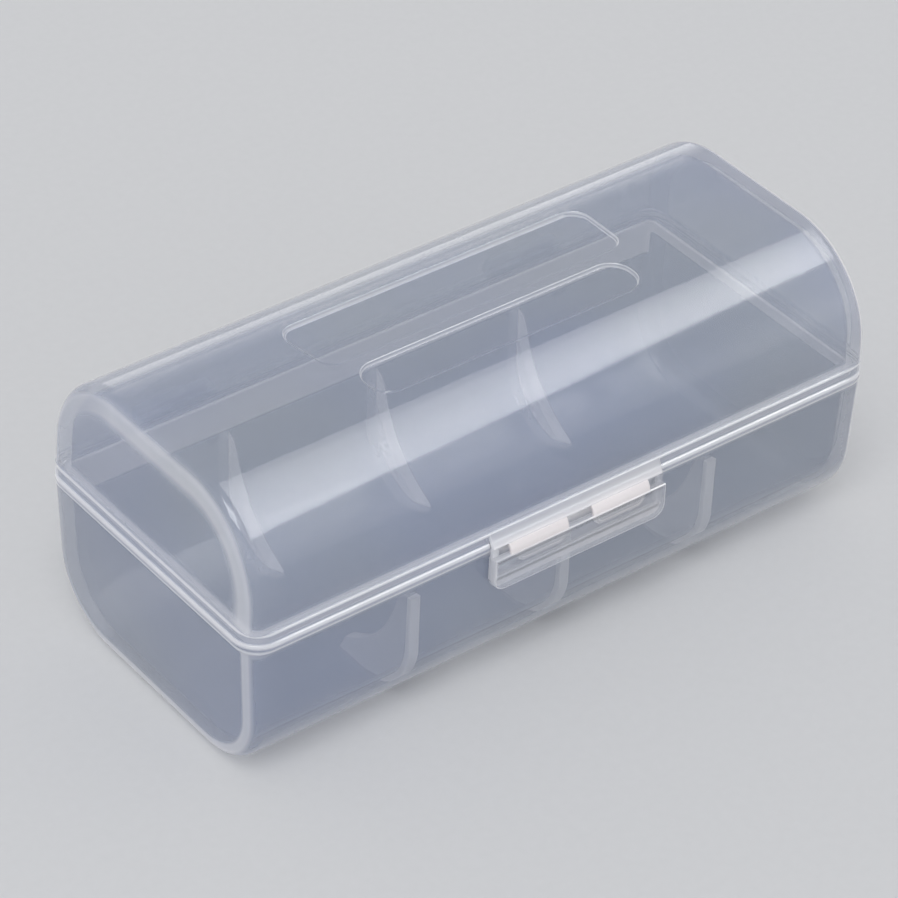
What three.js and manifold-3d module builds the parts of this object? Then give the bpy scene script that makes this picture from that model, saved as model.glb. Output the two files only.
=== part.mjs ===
// Storage case for one large round cell: a tub with cradle ribs, a domed lid on two barrel hinges, and a snap latch
// that hangs from the lid's rim on two short film straps.
// Millimetres, +Z up, +X along the case, -Y towards the latch. The origin is the centre of the underside.
import * as THREE from "three";
import { mergeVertices } from "three/addons/utils/BufferGeometryUtils.js";
import Module from "manifold-3d";

const wasm = await Module();
wasm.setup();

// Cell, and the room round it that gives the case its length, width and height
const cellLength = 70;
const cellDiameter = 26.5;
const cellClearance = 0.55;
const cellEndGap = 1.8;
const cradleSideGap = 1.85;
const cradleFloorGap = 0.95;

// Case
const wall = 1.2;
const partingRise = 1.4;
const baseCornerRadius = 8.25;
const lidCornerRadius = 10.5;
const endFillet = 1.6;
const innerFillet = 0.4;
const sideDraftShare = 0.015;
const endDraftShare = 0.037;

// Rims, and the lap where the base's lip stands inside the lid's skirt
const partingGap = 0.1;
const skirtHeight = 1.6;
const skirtProud = 0.24;
const skirtEdge = 0.12;
const beadHeight = 0.65;
const beadProud = 0.5;
const beadEdge = 0.2;
const shoulderHeight = 0.5;
const shoulderProud = 0.42;
const shoulderEdge = 0.18;
const lipHeight = 1.1;
const lipThickness = 0.5;
const lapClearance = 0.15;

// Recessed panels in the lid's top
const panelDepth = 0.45;
const rearPanelLength = 37.1;
const rearPanelWidth = 7.6;
const rearPanelMiddle = 3.15;
const rearPanelRadius = 1.8;
const frontPanelLength = 32.3;
const frontPanelWidth = 4.85;
const frontPanelMiddle = -4.72;
const frontPanelRadius = 2.1;

// Cradle ribs for the cell
const ribThickness = 1.2;
const ribPitch = 18.45;
const ribNoseReach = 5.2;
const ribShoulderDrop = 4.6;
const ribTopDrop = 2.8;
const ribSideCount = 1;

// Latch: catch bumps on the base, boss and straps on the lid, and the tab that turns on the strap ends
const latchHalfLength = 10.6;
const bossMargin = 0.04;
const bossFaceHeight = 0.3;
const strapInner = 1.52;
const strapOuter = 8.62;
const strapThickness = 0.4;
const strapGap = 0.05;
const strapDrop = 0.65;
const tabStandOff = 0.32;
const tabDepth = 1.13;
const tabHeight = 3.85;
const tabPlate = 0.7;
const tabRidge = 0.97;
const tabRidgeHeight = 2.1;
const tabSide = 0.8;
const tabCornerRadius = 1.3;
const tabEndGap = 0.3;
const bumpGap = 0.04;
const bumpInner = 1.7;
const bumpOuter = 7.5;
const bumpHeight = 1.2;
const bumpEdge = 0.16;
const bumpCornerRadius = 0.5;
const bumpAboveRidge = 0.15;

// Barrel hinges: two ears of the base hold a pin, and one knuckle of the lid turns on it
const hingeSpacing = 44;
const knuckleRadius = 1.4;
const knuckleLength = 4;
const earLength = 2;
const hingeSideGap = 0.2;
const hingeWallGap = 0.15;
const pinRadius = 0.55;
const pinSeatGap = 0.02;
const pinRunningGap = 0.08;
const pinEndInset = 0.15;
const knuckleWebRise = 3.2;
const earWebDrop = 4.4;

// Shared by all cuts, and how round things are divided
const overrun = 1;
const arcSegments = 5;
const cradleSegments = 8;
const filletSegments = 3;
const edgeSegments = 2;
const barrelSides = 24;

// Places that follow from these sizes
const cradleRadius = cellDiameter / 2 + cellClearance;
const cradleHeight = wall + cradleFloorGap + cradleRadius;
const caseLength = cellLength + 2 * (cellEndGap + wall);
const caseWidth = 2 * (cradleRadius + cradleSideGap + wall);
const caseHeight = 2 * cradleHeight;
const partingHeight = cradleHeight + partingRise;
const halfWidth = caseWidth / 2;
const halfLength = caseLength / 2;
const lidBottom = partingHeight + partingGap;
const innerHalfWidth = halfWidth - wall;
const tabFront = -(halfWidth + tabStandOff + tabDepth);
const latchAxisHeight = lidBottom - strapDrop;
const latchAxisY = tabFront + strapThickness / 2;
const strapRootY = latchAxisY + strapDrop;
const strapSlope = Math.PI / 4;
const strapSpread = strapThickness / 2 / Math.sin(strapSlope);
const bossFront = strapRootY - strapSpread - bossMargin;
const tabTop = latchAxisHeight - strapThickness / 2 - strapGap;
const tabBottom = tabTop - tabHeight;
const ridgeFace = tabFront + tabRidge;
const bumpBottom = tabBottom + tabRidgeHeight + bumpAboveRidge;
const hingeY = halfWidth + beadProud + hingeWallGap + knuckleRadius;
const hingeLength = knuckleLength + 2 * hingeSideGap + 2 * earLength;

// Drawing planes: a section is drawn in (y, z) and runs along +X, a front view is drawn in (x, z) and runs along -Y
const unitX = new THREE.Vector3(1, 0, 0);
const unitY = new THREE.Vector3(0, 1, 0);
const unitZ = new THREE.Vector3(0, 0, 1);
const sectionPlane = new THREE.Matrix4().makeBasis(unitY, unitZ, unitX);
const frontPlane = new THREE.Matrix4().makeBasis(unitX, unitZ, unitY.clone().negate());

// Solid of a closed geometry
function solidOf(geometry) {
  geometry.deleteAttribute("normal");
  geometry.deleteAttribute("uv");
  const merged = mergeVertices(geometry);
  return new wasm.Manifold(
    new wasm.Mesh({
      numProp: 3,
      vertProperties: merged.attributes.position.array,
      triVerts: new Uint32Array(merged.index.array),
    }),
  );
}

// Named mesh of a solid
function meshOf(name, solid, material) {
  const { vertProperties, triVerts } = solid.getMesh();
  const geometry = new THREE.BufferGeometry();
  geometry.setAttribute("position", new THREE.BufferAttribute(vertProperties, 3));
  geometry.setIndex(new THREE.BufferAttribute(triVerts, 1));
  geometry.computeVertexNormals();
  const mesh = new THREE.Mesh(geometry, material);
  mesh.name = name;
  return mesh;
}

// Straight run of a shape from one place to another, with its end edges rounded by edge
function run(shape, from, to, edge = 0, segments = edgeSegments) {
  const geometry = new THREE.ExtrudeGeometry(shape, {
    depth: to - from - 2 * edge,
    curveSegments: arcSegments,
    bevelEnabled: edge > 0,
    bevelThickness: edge,
    bevelSize: edge,
    bevelOffset: -edge,
    bevelSegments: segments,
  });
  geometry.translate(0, 0, from + edge);
  return geometry;
}

// Run of a (y, z) section along X
function along(shape, from, to, edge, segments) {
  return run(shape, from, to, edge, segments).applyMatrix4(sectionPlane);
}

// Box between two corners
function block(low, high) {
  const size = high.map((value, axis) => value - low[axis]);
  const geometry = new THREE.BoxGeometry(...size);
  geometry.translate(...low.map((value, axis) => value + size[axis] / 2));
  return solidOf(geometry);
}

// Rounded rectangle between two corners
function roundedRectangle(left, low, right, high, radius) {
  const shape = new THREE.Shape();
  shape.absarc(right - radius, low + radius, radius, -Math.PI / 2, 0, false);
  shape.absarc(right - radius, high - radius, radius, 0, Math.PI / 2, false);
  shape.absarc(left + radius, high - radius, radius, Math.PI / 2, Math.PI, false);
  shape.absarc(left + radius, low + radius, radius, Math.PI, 1.5 * Math.PI, false);
  return shape;
}

// Plan of the case at the parting plane, grown by outset
function planOutline(outset) {
  const x = halfLength + outset;
  const y = halfWidth + outset;
  return roundedRectangle(-x, -y, x, y, endFillet + outset);
}

// Slab of the case's plan between two heights
function planSlab(outset, from, to, edge) {
  return solidOf(run(planOutline(outset), from, to, edge));
}

// Draft that lets a moulding leave its tool: walls lean in as they leave the parting plane, down or up
function withDraft(geometry, direction) {
  const position = geometry.attributes.position;
  for (let i = 0; i < position.count; i++) {
    const away = direction * (position.getZ(i) - partingHeight);
    position.setX(i, position.getX(i) * (1 - (endDraftShare * away) / halfLength));
    position.setY(i, position.getY(i) * (1 - (sideDraftShare * away) / halfWidth));
  }
  return geometry;
}

// Section of the tub, drawn in from its outer face by inset, open towards top
function tubSection(inset, top) {
  const side = halfWidth - inset;
  const radius = baseCornerRadius - inset;
  const shape = new THREE.Shape();
  shape.moveTo(side, top);
  shape.lineTo(-side, top);
  shape.absarc(radius - side, inset + radius, radius, Math.PI, 1.5 * Math.PI, false);
  shape.absarc(side - radius, inset + radius, radius, 1.5 * Math.PI, 2 * Math.PI, false);
  return shape;
}

// Section of the dome, drawn in from its outer face by inset, open towards bottom
function domeSection(inset, bottom) {
  const side = halfWidth - inset;
  const radius = lidCornerRadius - inset;
  const shape = new THREE.Shape();
  shape.moveTo(-side, bottom);
  shape.lineTo(side, bottom);
  shape.absarc(side - radius, caseHeight - inset - radius, radius, 0, Math.PI / 2, false);
  shape.absarc(radius - side, caseHeight - inset - radius, radius, Math.PI / 2, Math.PI, false);
  return shape;
}

// Body of a section between the end walls, drawn in by inset
function caseBody(section, inset, fillet, direction) {
  const end = halfLength - inset;
  return solidOf(withDraft(along(section, -end, end, fillet, filletSegments), direction));
}

// Space above or below a height, wide enough to trim a shell
function spaceBetween(from, to) {
  const x = caseLength;
  const y = caseWidth;
  return block([-x, -y, from], [x, y, to]);
}

// Cradle rib: fills the corner between wall and floor outside the cell's arc. side is 1 at the rear and -1 in front
function cradleRib(x, side) {
  const noseY = ribNoseReach;
  const shoulderZ = partingHeight - ribShoulderDrop;
  const topZ = partingHeight - ribTopDrop;
  const noseAngle = Math.asin(noseY / cradleRadius);
  const shoulderAngle = Math.acos((cradleHeight - shoulderZ) / cradleRadius);
  const buried = wall / 2;
  const shape = new THREE.Shape();
  const arc = (angle) => [side * cradleRadius * Math.sin(angle), cradleHeight - cradleRadius * Math.cos(angle)];
  shape.moveTo(side * (halfWidth - buried), buried);
  shape.lineTo(side * (halfWidth - buried), topZ);
  shape.lineTo(side * innerHalfWidth, topZ);
  shape.quadraticCurveTo(arc(shoulderAngle)[0], topZ, ...arc(shoulderAngle));
  for (let i = 1; i <= cradleSegments; i++) {
    shape.lineTo(...arc(shoulderAngle + ((noseAngle - shoulderAngle) * i) / cradleSegments));
  }
  shape.quadraticCurveTo(side * (noseY - wall / 2), wall, side * (noseY - wall), wall);
  shape.lineTo(side * (noseY - wall), buried);
  const half = ribThickness / 2;
  return solidOf(along(shape, x - half, x + half));
}

// Catch bump on the base's front wall, between two distances from the middle of the case
function catchBump(side) {
  const left = Math.min(side * bumpInner, side * bumpOuter);
  const right = left + bumpOuter - bumpInner;
  const shape = roundedRectangle(left, bumpBottom, right, bumpBottom + bumpHeight, bumpCornerRadius);
  const geometry = run(shape, innerHalfWidth + wall / 2, -ridgeFace - bumpGap, bumpEdge);
  return solidOf(geometry.applyMatrix4(frontPlane));
}

// Section of a hinge leaf: a round eye on the hinge axis and a web to the wall. rise is 1 on the lid, -1 on the base
function leafSection(rootHeight, reach, rise) {
  const root = halfWidth - wall / 2;
  const shape = new THREE.Shape();
  shape.moveTo(hingeY - knuckleRadius, rootHeight);
  shape.lineTo(root, rootHeight);
  shape.lineTo(root, rootHeight + rise * reach);
  shape.absarc(hingeY, partingHeight, knuckleRadius, rise * (Math.PI / 4), -rise * Math.PI, rise > 0);
  return shape;
}

// Round bar on the hinge axis
function hingeBar(radius, from, to) {
  const geometry = new THREE.CylinderGeometry(radius, radius, to - from, barrelSides);
  geometry.rotateZ(Math.PI / 2);
  geometry.translate((from + to) / 2, hingeY, partingHeight);
  return solidOf(geometry);
}

// Ears of one hinge, bored for the pin
function hingeEars(x) {
  const section = leafSection(partingHeight, earWebDrop, -1);
  const outer = hingeLength / 2;
  const inner = knuckleLength / 2 + hingeSideGap;
  const left = solidOf(along(section, x - outer, x - inner));
  const right = solidOf(along(section, x + inner, x + outer));
  return left.add(right);
}

// Knuckle of one hinge
function hingeKnuckle(x) {
  const section = leafSection(lidBottom, knuckleWebRise, 1);
  return solidOf(along(section, x - knuckleLength / 2, x + knuckleLength / 2));
}

// Bores of one hinge through what holds its pin
function hingeBore(x, gap) {
  const reach = hingeLength / 2 + overrun;
  return hingeBar(pinRadius + gap, x - reach, x + reach);
}

const hingePlaces = [-hingeSpacing / 2, hingeSpacing / 2];
const sides = [-1, 1];

// Room for the latch in the shoulder's front edge
function shoulderNotch() {
  const end = latchHalfLength + tabEndGap;
  const root = -halfWidth + wall / 2;
  return block([-end, -caseWidth, 0], [end, root, partingHeight + overrun]);
}

// Base: tub, shoulder and lip, hollowed out, then ribs, catch bumps and hinge ears
function makeBase() {
  const above = partingHeight + lipHeight + endFillet + overrun;
  const tub = caseBody(tubSection(0, above), 0, endFillet, -1).subtract(
    spaceBetween(partingHeight, above + overrun),
  );
  const shoulder = planSlab(shoulderProud, partingHeight - shoulderHeight, partingHeight, shoulderEdge);
  const notched = shoulder.subtract(shoulderNotch());
  const lipOutset = lipThickness - wall;
  const lip = planSlab(lipOutset, partingHeight - shoulderHeight, partingHeight + lipHeight);
  const hollow = caseBody(tubSection(wall, above + overrun), wall, innerFillet, -1);
  const core = caseBody(tubSection(wall / 2, above), wall / 2, innerFillet, -1);
  let base = tub.add(notched).add(lip).subtract(hollow);
  for (let station = -ribSideCount; station <= ribSideCount; station++) {
    for (const side of sides) {
      base = base.add(cradleRib(station * ribPitch, side).intersect(core));
    }
  }
  for (const side of sides) {
    base = base.add(catchBump(side));
  }
  for (const x of hingePlaces) {
    base = base.add(hingeEars(x).subtract(hollow)).subtract(hingeBore(x, pinSeatGap));
  }
  return base;
}

// Boss on the lid's skirt that the straps hang from
function latchBoss() {
  const root = -innerHalfWidth - wall / 2;
  const top = lidBottom + skirtHeight;
  const shape = new THREE.Shape();
  shape.moveTo(root, lidBottom);
  shape.lineTo(root, top);
  shape.lineTo(-halfWidth, top);
  shape.lineTo(-halfWidth - skirtProud, top - skirtEdge);
  shape.lineTo(bossFront, lidBottom + bossFaceHeight);
  shape.lineTo(bossFront, lidBottom);
  return solidOf(along(shape, -latchHalfLength, latchHalfLength));
}

// Panel recess in the lid's top
function panelCut(length, width, middle, radius) {
  const x = length / 2;
  const y = width / 2;
  const shape = roundedRectangle(-x, middle - y, x, middle + y, radius);
  return solidOf(run(shape, caseHeight - panelDepth, caseHeight + overrun));
}

// Lid: dome, skirt and bead, hollowed out, with the lap's recess, the panels, the latch boss and the knuckles
function makeLid() {
  const below = lidBottom - endFillet - overrun;
  const dome = caseBody(domeSection(0, below - overrun), 0, endFillet, 1).subtract(
    spaceBetween(below - 2 * overrun, lidBottom),
  );
  const skirt = planSlab(skirtProud, lidBottom, lidBottom + skirtHeight, skirtEdge);
  const bead = planSlab(beadProud, lidBottom, lidBottom + beadHeight, beadEdge);
  const hollow = caseBody(domeSection(wall, below - overrun), wall, innerFillet, 1);
  const recessOutset = lipThickness + lapClearance - wall;
  const recess = planSlab(recessOutset, below, partingHeight + lipHeight + lapClearance);
  let lid = dome.add(skirt).add(bead).add(latchBoss());
  for (const x of hingePlaces) {
    lid = lid.add(hingeKnuckle(x)).subtract(hingeBore(x, pinRunningGap));
  }
  return lid
    .subtract(hollow)
    .subtract(recess)
    .subtract(panelCut(rearPanelLength, rearPanelWidth, rearPanelMiddle, rearPanelRadius))
    .subtract(panelCut(frontPanelLength, frontPanelWidth, frontPanelMiddle, frontPanelRadius));
}

// Film strap: a thin web that slopes out and down from the boss and ends in a round nose on the latch axis
function makeStrap(side) {
  const radius = strapThickness / 2;
  const shape = new THREE.Shape();
  shape.moveTo(strapRootY + strapSpread, lidBottom);
  shape.lineTo(strapRootY - strapSpread, lidBottom);
  shape.absarc(latchAxisY, latchAxisHeight, radius, Math.PI - strapSlope, 2 * Math.PI - strapSlope, false);
  const left = Math.min(side * strapInner, side * strapOuter);
  return solidOf(along(shape, left, left + strapOuter - strapInner));
}

// Latch tab: a plate with side walls and a thicker foot, open downwards so that it slides off the bumps
function makeTab() {
  const back = tabFront + tabDepth;
  const low = -latchHalfLength;
  const high = latchHalfLength;
  const plate = block([low, tabFront, tabBottom], [high, tabFront + tabPlate, tabTop]);
  const foot = block([low, tabFront, tabBottom], [high, ridgeFace, tabBottom + tabRidgeHeight]);
  const leftSide = block([low, tabFront, tabBottom], [low + tabSide, back, tabTop]);
  const rightSide = block([high - tabSide, tabFront, tabBottom], [high, back, tabTop]);
  const outline = new THREE.Shape();
  const radius = tabCornerRadius;
  outline.moveTo(high, tabTop);
  outline.lineTo(low, tabTop);
  outline.absarc(low + radius, tabBottom + radius, radius, Math.PI, 1.5 * Math.PI, false);
  outline.absarc(high - radius, tabBottom + radius, radius, 1.5 * Math.PI, 2 * Math.PI, false);
  const window = solidOf(run(outline, -back - overrun, -tabFront + overrun).applyMatrix4(frontPlane));
  return plate.add(foot).add(leftSide).add(rightSide).intersect(window);
}

// Hinge pin
function makePin(x) {
  const half = hingeLength / 2 - pinEndInset;
  return hingeBar(pinRadius, x - half, x + half);
}

// Milky translucent polypropylene; the flexed straps have turned white
function polypropylene(colour, opacity) {
  return new THREE.MeshStandardMaterial({
    color: colour,
    roughness: 0.35,
    metalness: 0,
    transparent: true,
    opacity,
  });
}

const storageCase = new THREE.Group();
storageCase.add(meshOf("base_shell", makeBase(), polypropylene(0x98a2b3, 0.6)));
storageCase.add(meshOf("lid_shell", makeLid(), polypropylene(0x9aa4b5, 0.6)));
storageCase.add(meshOf("latch_tab", makeTab(), polypropylene(0xa4abb6, 0.65)));
const handNames = ["left", "right"];
for (let i = 0; i < sides.length; i++) {
  storageCase.add(meshOf(`latch_strap_${handNames[i]}`, makeStrap(sides[i]), polypropylene(0xe4e0e2, 0.95)));
  storageCase.add(meshOf(`hinge_pin_${handNames[i]}`, makePin(hingePlaces[i]), polypropylene(0xb4bac4, 0.8)));
}

export default storageCase;
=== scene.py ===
# %% [markdown]
# # A milky battery case
# This lesson rebuilds a small translucent case for one round battery cell. It has a tub, a domed
# lid, a snap latch on two film straps and a barrel hinge at the back. The difficulty is the
# plastic. Natural polypropylene is neither clear nor opaque: it scatters a little light at every
# surface, so near walls look like fog, and far walls, ribs and rims still show through it. We build
# every wall with its real thickness and let thin layers of haze add up.

import math

import bmesh
import bpy
from mathutils import Matrix, Vector
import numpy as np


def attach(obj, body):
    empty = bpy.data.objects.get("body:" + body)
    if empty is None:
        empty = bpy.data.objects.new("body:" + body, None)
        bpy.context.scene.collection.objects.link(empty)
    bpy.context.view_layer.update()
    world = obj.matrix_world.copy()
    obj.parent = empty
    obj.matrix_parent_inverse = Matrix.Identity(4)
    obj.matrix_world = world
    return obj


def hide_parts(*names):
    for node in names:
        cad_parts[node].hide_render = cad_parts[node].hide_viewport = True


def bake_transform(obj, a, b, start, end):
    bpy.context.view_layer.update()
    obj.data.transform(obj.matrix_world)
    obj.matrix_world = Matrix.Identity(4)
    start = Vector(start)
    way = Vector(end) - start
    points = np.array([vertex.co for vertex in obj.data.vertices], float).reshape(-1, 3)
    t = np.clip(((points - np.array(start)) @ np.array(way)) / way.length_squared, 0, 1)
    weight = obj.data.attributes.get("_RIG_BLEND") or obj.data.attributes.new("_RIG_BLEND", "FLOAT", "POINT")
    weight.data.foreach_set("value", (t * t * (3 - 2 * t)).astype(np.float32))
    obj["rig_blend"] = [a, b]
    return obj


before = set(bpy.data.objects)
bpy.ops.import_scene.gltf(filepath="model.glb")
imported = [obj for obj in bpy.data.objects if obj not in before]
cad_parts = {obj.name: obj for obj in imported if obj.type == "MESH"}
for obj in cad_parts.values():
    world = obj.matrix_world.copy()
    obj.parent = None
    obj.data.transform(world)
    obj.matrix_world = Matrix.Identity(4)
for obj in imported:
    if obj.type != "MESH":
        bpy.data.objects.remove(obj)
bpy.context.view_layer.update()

# %% [markdown]
# ## Sizes
# All sizes are in millimetres, as on a drawing, and MM turns them into Blender's metres. The long
# axis is X, the latch is in front at -Y, and Z = 0 is the underside.

# %% Sizes of the case
MM = 0.001
LENGTH, WIDTH, HEIGHT = 38.0, 16.85, 31.9  # half length, half width, full height
PARTING = 17.35  # height at which lid and tub part
WALL = 1.2
TUB_ROUND, DOME_ROUND, DOME_REAR = 8.25, 10.5, 10.05  # the tub's corners, the dome's front and rear ones
SIDE_DRAFT, END_DRAFT = 0.015, 0.037  # lean per millimetre of height
LATCH = 10.6  # half width of the latch
HINGE_Y, HINGE_R = 18.9, 1.4  # axis and radius of the hinges' eyes
print("case", 2 * LENGTH, "x", 2 * WIDTH, "x", HEIGHT, "mm")

# %% [markdown]
# ## A few mesh tools
# Most pieces are stacks of rings: closed loops with the same number of points, joined by quads.
# `stack` does that and closes both ends. `rounded` draws a polygon with round corners and `grow`
# moves an outline outwards, which is all that is needed for soft edges. Every point also carries a
# number that we call milk. It says how white the plastic looks there, from 0 on a plain wall to 1
# on an edge where the eye looks along the plastic. In a few places it also carries painted light: a
# painted highlight on the lid's rim, the boss and the tab's front edge, and a painted glow on the
# inner face of the tub's rear wall and on the rear ribs. It is stored in the mesh as an attribute,
# and the material reads it later. A painted texture would do the same, but needs an unwrapped mesh
# and an image.

# %% Mesh tools
def new_body():
    """An empty bmesh and its layer for the milk."""
    bm = bmesh.new()
    return bm, bm.verts.layers.float.new("milk")


def to_object(name, bm, smooth=30):
    """A bmesh in millimetres becomes an object in metres, sharp at edges above the given angle."""
    bmesh.ops.recalc_face_normals(bm, faces=bm.faces)
    bmesh.ops.scale(bm, vec=(MM, MM, MM), verts=bm.verts)
    mesh = bpy.data.meshes.new(name)
    bm.to_mesh(mesh)
    bm.free()
    mesh.shade_smooth()
    mesh.set_sharp_from_angle(angle=math.radians(smooth))
    obj = bpy.data.objects.new(name, mesh)
    bpy.context.collection.objects.link(obj)
    return obj


def rounded(corners, steps=6):
    """Outline through (u, v, radius) corners, each corner an arc."""
    points = []
    for i, (u, v, radius) in enumerate(corners):
        here = Vector((u, v))
        back = (Vector(corners[i - 1][:2]) - here).normalized()
        ahead = (Vector(corners[(i + 1) % len(corners)][:2]) - here).normalized()
        half = back.angle(ahead) / 2
        centre = here + (back + ahead).normalized() * radius / math.sin(half)
        first = here + back * radius / math.tan(half) - centre
        last = here + ahead * radius / math.tan(half) - centre
        turn = first.angle_signed(last)
        for k in range(steps + 1):
            points.append(centre + Matrix.Rotation(-turn * k / steps, 2) @ first)
    return points


def grow(outline, amount):
    """The outline moved outwards, for outlines that run anticlockwise."""
    moved = []
    for i, point in enumerate(outline):
        a = (point - outline[i - 1]).normalized()
        b = (outline[(i + 1) % len(outline)] - point).normalized()
        side = (Vector((a.y, -a.x)) + Vector((b.y, -b.x))).normalized()
        moved.append(point + side * amount / max(0.4, side.dot(Vector((a.y, -a.x)))))
    return moved


def join(bm, loops):
    """Quads between closed loops of vertices."""
    for low, high in zip(loops, loops[1:]):
        for i in range(len(low)):
            j = (i + 1) % len(low)
            bm.faces.new((low[i], low[j], high[j], high[i]))


def stack(rings):
    """Closed body through rings, each a pair of its points and its milk."""
    bm, layer = new_body()
    loops = []
    for points, milk in rings:
        loop = [bm.verts.new(p) for p in points]
        for vertex in loop:
            vertex[layer] = milk
        loops.append(loop)
    join(bm, loops)
    bm.faces.new(loops[0])
    bm.faces.new(loops[-1])
    return bm


def bar(outline, start, end, edge, face=0.15, far=None, rim=1.0, border=0.3, steps=3):
    """A (y, z) outline pushed along X from start to end, with rounded edges. face and far are the
    milk of its two faces, rim that of the edges, border the width over which one becomes the other."""
    line = 0.05  # width of the last step towards the edge, which keeps its white narrow
    far = face if far is None else far
    near_side = [(start, -edge - border, face), (start, -edge - line, 0.5 * (face + rim))]
    far_side = [(end, -edge - line, 0.5 * (far + rim)), (end, -edge - border, far)]
    turn = []
    for k in range(steps + 1):
        a = math.pi / 2 * k / steps
        turn.append((edge * (1 - math.cos(a)), edge * (math.sin(a) - 1)))
    near_edge = [(start + w, g, rim) for w, g in turn]
    far_edge = [(end - w, g, rim) for w, g in turn[::-1]]
    profile = near_side + near_edge + far_edge + far_side
    return stack([([(x, p.x, p.y) for p in grow(outline, g)], milk) for x, g, milk in profile])


def cut(obj, *cutters):
    """Boolean difference, applied to the mesh, with normals that follow the larger faces."""
    for cutter in cutters:
        step = obj.modifiers.new("cut", "BOOLEAN")
        step.operation = "DIFFERENCE"
        step.solver = "EXACT"
        step.object = cutter
    bpy.context.view_layer.update()
    mesh = bpy.data.meshes.new_from_object(obj.evaluated_get(bpy.context.evaluated_depsgraph_get()))
    obj.modifiers.clear()
    obj.data = mesh
    for cutter in cutters:
        bpy.data.objects.remove(cutter)
    even = obj.modifiers.new("even", "WEIGHTED_NORMAL")
    even.keep_sharp = True


print("tools ready")

# %% [markdown]
# ## The shells
# Tub and dome are the same kind of body: an arch-shaped section that runs along the case and is
# closed by flat ends. A moulded shell has one wall thickness, so the inner skin is the outer one
# moved inwards. Between the two skins the rim's profile runs round the plan. We make all of it one
# grid: stations along X, points round the section, and rim rings that use the same stations, so
# there is not a single stray face. Walls lean inwards by a small draft, which lets the plastic
# leave its mould. Milk is painted where the plastic is seen edge-on: round the end arches and
# upright corners, and at the rim, where on the lid it is partly a painted highlight. It starts on
# the end face, is full at the corner and fades on the way to the long wall, and it is weaker on
# sides that turn away. Rows and stations lie close together wherever the milk changes, because a
# mesh only keeps one value per point and blends between them.

# %% Stations and sections
CORNER_STEPS, MIDDLE_STEPS = 8, 26
# The keys are the ends, -1 for left and 1 for right. On the end face, the distances from the corner
# at which its white ends and at which it is full.
TUB_STRIP = {-1: (0.6, 0.2), 1: (1.15, 0.95)}
LID_STRIP = {-1: (2.3, 0.9), 1: (1.15, 0.95)}
# The turns in radians at which the white starts to fade and at which it is lost.
LATE = {-1: (0.35, 0.85), 1: (0.8, 1.4)}
FAINTEST = 0.08  # share of the white that is left on the long wall
TURNED_AWAY = 0.7  # share of the white that a rear side loses


def stations(strips):
    """(end, turn, share, strip): each end has two rings on its flat face and a quarter turn round
    its corners, and the middle runs straight."""
    turns = [math.pi / 2 * k / CORNER_STEPS for k in range(CORNER_STEPS + 1)]
    left = [(-1, 0.0, 0, strip) for strip in strips[-1]] + [(-1, turn, 0, 0.0) for turn in turns]
    middle = [(0, math.pi / 2, 2 * m / MIDDLE_STEPS - 1, 0.0) for m in range(1, MIDDLE_STEPS)]
    right = [(1, turn, 0, 0.0) for turn in reversed(turns)]
    right += [(1, 0.0, 0, strip) for strip in reversed(strips[1])]
    return left + middle + right


def edge_milk(end, turn, strip):
    """White of a corner, full beside the end face and lost on the way to the long wall."""
    if end == 0 or strip in (TUB_STRIP[end][0], LID_STRIP[end][0]):
        return 0.0
    start, stop = LATE[end]
    late = min(1.0, max(0.0, turn - start) / (stop - start))
    return 1.0 - (1.0 - FAINTEST) * late * late * (3 - 2 * late)


def half_arch(radius, rim_depth, near, arc_steps=20, wall_steps=7):
    """Half a section as (y, depth below the cap, outward normal, distance to the rim), from the rim
    to the flat. near holds the distances of the close rows beside the rim."""
    tall = rim_depth - radius
    start = near[-1]
    rows = [0.0, *near] + [start + (tall - start) * k / wall_steps for k in range(1, wall_steps)]
    half = [(WIDTH, rim_depth - row, 1.0, 0.0, row) for row in rows]
    for k in range(arc_steps):
        a = math.pi / 2 * k / arc_steps
        away = radius * math.cos(a)
        depth = radius - radius * math.sin(a)
        half.append((WIDTH - radius + away, depth, math.cos(a), -math.sin(a), tall))
    return half


def arch(front, rear, rim_depth, near, cap_steps=10):
    """Whole section, with the radius of its front and of its rear shoulder."""
    front_half = half_arch(front, rim_depth, near)
    left = [(-y, depth, -ny, nd, below) for y, depth, ny, nd, below in front_half]
    right = half_arch(rear, rim_depth, near)
    start, end = front - WIDTH, WIDTH - rear
    across = [start + (end - start) * k / cap_steps for k in range(cap_steps + 1)]
    top = [(y, 0.0, 0.0, -1.0, rim_depth) for y in across]
    return left + top + right[::-1]


def lean(x, y, z):
    """Draft: away from the parting plane everything shrinks a little."""
    away = abs(z - PARTING)
    return (x * (1 - END_DRAFT * away / LENGTH), y * (1 - SIDE_DRAFT * away / WIDTH), z)


print("stations:", len(stations(TUB_STRIP)))

# %% Skins and rims
REAR_WALL, REAR_TURN = 0.5, 0.7  # outward normal and turn from which a point belongs to the rear wall


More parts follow.
